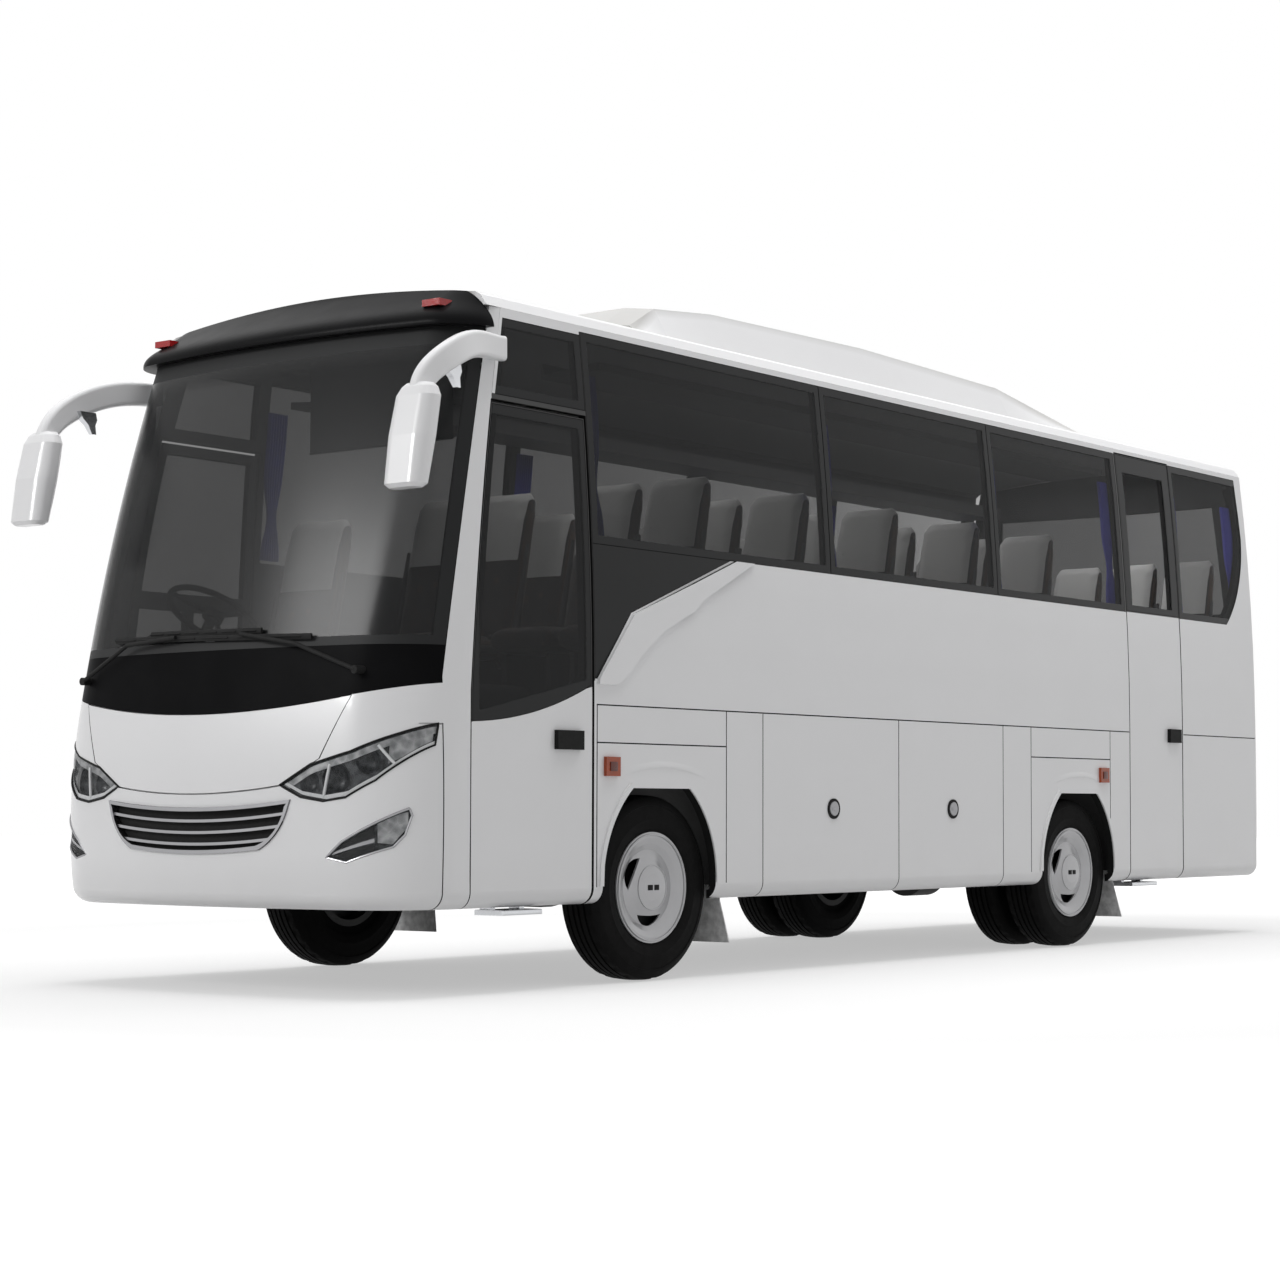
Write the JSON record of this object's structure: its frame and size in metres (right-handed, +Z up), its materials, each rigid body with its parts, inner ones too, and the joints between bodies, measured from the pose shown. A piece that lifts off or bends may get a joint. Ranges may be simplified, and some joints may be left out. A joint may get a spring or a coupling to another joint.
{
  "type": "coach bus",
  "caption": "Small white coach bus with twin rear wheels, two passenger doors, luggage bays, roof air conditioner and long mirror arms",
  "frame": {"origin": "on the ground in the middle of the length and width", "axes": "+X to the vehicle's left, +Y to its rear, +Z up"},
  "size_m": [2.526, 7.9994, 3.245],
  "materials": {
    "body_white": "gloss",
    "body_black": "gloss",
    "glass_side": "gloss",
    "glass_front": "gloss",
    "lens_clear": "gloss",
    "lamp_body": "gloss",
    "grille_chrome": "polished",
    "amber_lens": "gloss",
    "red_lens": "gloss",
    "tyre_rubber": "matte",
    "wheel_white": "satin",
    "chassis_black": "satin",
    "exhaust_steel": "satin",
    "floor_grey": "matte",
    "trim_black": "matte",
    "dash_grey": "matte",
    "seat_fabric": "matte",
    "curtain_cloth": "matte",
    "blind_cloth": "matte",
    "rubber_flap": "matte"
  },
  "bodies": {
    "coach_body": {"chassis_frame": "chassis_black", "front_axle_beam": "chassis_black", "rear_axle": "chassis_black", "leaf_springs": "chassis_black", "engine_block": "chassis_black", "propshaft": "chassis_black", "exhaust": "exhaust_steel", "fuel_tank": "chassis_black", "mud_flaps": "rubber_flap", "floor_pan": "floor_grey", "luggage_tubs": "floor_grey", "side_wall_left": "body_white", "side_wall_right": "body_white", "side_glass": "glass_side", "front_mask": "body_white", "cowl_panel": "body_black", "windscreen": "glass_front", "lamp_lenses": "lens_clear", "lamp_units": "lamp_body", "grille": "grille_chrome", "roof_shell": "body_white", "roof_visor": "body_black", "rear_mask": "body_white", "rear_window": "glass_side", "red_lamps": "red_lens", "mirrors": "body_white", "wipers": "trim_black", "side_markers": "amber_lens", "roof_ac_unit": "body_white", "roof_hatch": "trim_black", "seats": "seat_fabric", "seat_legs": "chassis_black", "cab_trim": "dash_grey", "steering_wheel": "trim_black", "curtains": "curtain_cloth", "luggage_racks": "dash_grey", "sun_blind": "blind_cloth", "door_steps": "body_white"},
    "knuckle_left": {"knuckle_left": "chassis_black"},
    "front_left_wheel": {"tyre_front_left": "tyre_rubber", "wheel_front_left": "wheel_white"},
    "rear_left_wheel": {"tyre_rear_left": "tyre_rubber", "wheel_rear_left": "wheel_white"},
    "knuckle_right": {"knuckle_right": "chassis_black"},
    "front_right_wheel": {"tyre_front_right": "tyre_rubber", "wheel_front_right": "wheel_white"},
    "rear_right_wheel": {"tyre_rear_right": "tyre_rubber", "wheel_rear_right": "wheel_white"},
    "front_door": {"front_door": "body_white", "front_door_glass": "glass_side"},
    "driver_door": {"driver_door": "body_white", "driver_door_glass": "glass_side"},
    "rear_door": {"rear_door": "body_white", "rear_door_glass": "glass_side"},
    "luggage_door_front_left": {"luggage_door_front_left": "body_white"},
    "luggage_door_front_right": {"luggage_door_front_right": "body_white"},
    "luggage_door_rear_left": {"luggage_door_rear_left": "body_white"},
    "luggage_door_rear_right": {"luggage_door_rear_right": "body_white"},
    "front_hatch": {"front_hatch": "body_white"},
    "boot_lid": {"boot_lid": "body_white"}
  },
  "joints": [
    {"name": "left_steering", "type": "hinge", "parent": "coach_body", "child": "knuckle_left", "pos_m": [0.79, -2.23, 0.415], "axis": [0, 0, 1], "range_deg": [-35, 35]},
    {"name": "front_left_spin", "type": "hinge", "parent": "knuckle_left", "child": "front_left_wheel", "pos_m": [0.942, -2.23, 0.415], "axis": [1, 0, 0], "continuous": true},
    {"name": "rear_left_spin", "type": "hinge", "parent": "coach_body", "child": "rear_left_wheel", "pos_m": [0.942, 1.52, 0.415], "axis": [1, 0, 0], "continuous": true},
    {"name": "right_steering", "type": "hinge", "parent": "coach_body", "child": "knuckle_right", "pos_m": [-0.79, -2.23, 0.415], "axis": [0, 0, 1], "range_deg": [-35, 35]},
    {"name": "front_right_spin", "type": "hinge", "parent": "knuckle_right", "child": "front_right_wheel", "pos_m": [-0.942, -2.23, 0.415], "axis": [1, 0, 0], "continuous": true},
    {"name": "rear_right_spin", "type": "hinge", "parent": "coach_body", "child": "rear_right_wheel", "pos_m": [-0.942, 1.52, 0.415], "axis": [1, 0, 0], "continuous": true},
    {"name": "front_door_hinge", "type": "hinge", "parent": "coach_body", "child": "front_door", "pos_m": [1.1, -3.48, 1.25], "axis": [0.03, 0, -0.9996], "range_deg": [0, 85]},
    {"name": "driver_door_hinge", "type": "hinge", "parent": "coach_body", "child": "driver_door", "pos_m": [-1.1, -3.48, 1.25], "axis": [0.03, 0, 0.9996], "range_deg": [0, 85]},
    {"name": "rear_door_hinge", "type": "hinge", "parent": "coach_body", "child": "rear_door", "pos_m": [1.104, 2.119, 1.25], "axis": [0.03, 0, -0.9996], "range_deg": [0, 85]},
    {"name": "luggage_door_front_left_hinge", "type": "hinge", "parent": "coach_body", "child": "luggage_door_front_left", "pos_m": [1.1, -0.8925, 1.217], "axis": [0, -1, 0], "range_deg": [0, 90]},
    {"name": "luggage_door_front_right_hinge", "type": "hinge", "parent": "coach_body", "child": "luggage_door_front_right", "pos_m": [-1.1, -0.8925, 1.217], "axis": [0, 1, 0], "range_deg": [0, 90]},
    {"name": "luggage_door_rear_left_hinge", "type": "hinge", "parent": "coach_body", "child": "luggage_door_rear_left", "pos_m": [1.1, 0.1935, 1.217], "axis": [0, -1, 0], "range_deg": [0, 90]},
    {"name": "luggage_door_rear_right_hinge", "type": "hinge", "parent": "coach_body", "child": "luggage_door_rear_right", "pos_m": [-1.1, 0.1935, 1.217], "axis": [0, 1, 0], "range_deg": [0, 90]},
    {"name": "front_hatch_hinge", "type": "hinge", "parent": "coach_body", "child": "front_hatch", "pos_m": [0, -3.87, 1.4], "axis": [-1, 0, 0], "range_deg": [0, 80]},
    {"name": "boot_lid_hinge", "type": "hinge", "parent": "coach_body", "child": "boot_lid", "pos_m": [0, 3.989, 1.866], "axis": [1, 0, 0], "range_deg": [0, 80]}
  ],
  "couplings": [
    {"joint": "right_steering", "follows": "left_steering", "ratio": 1}
  ]
}
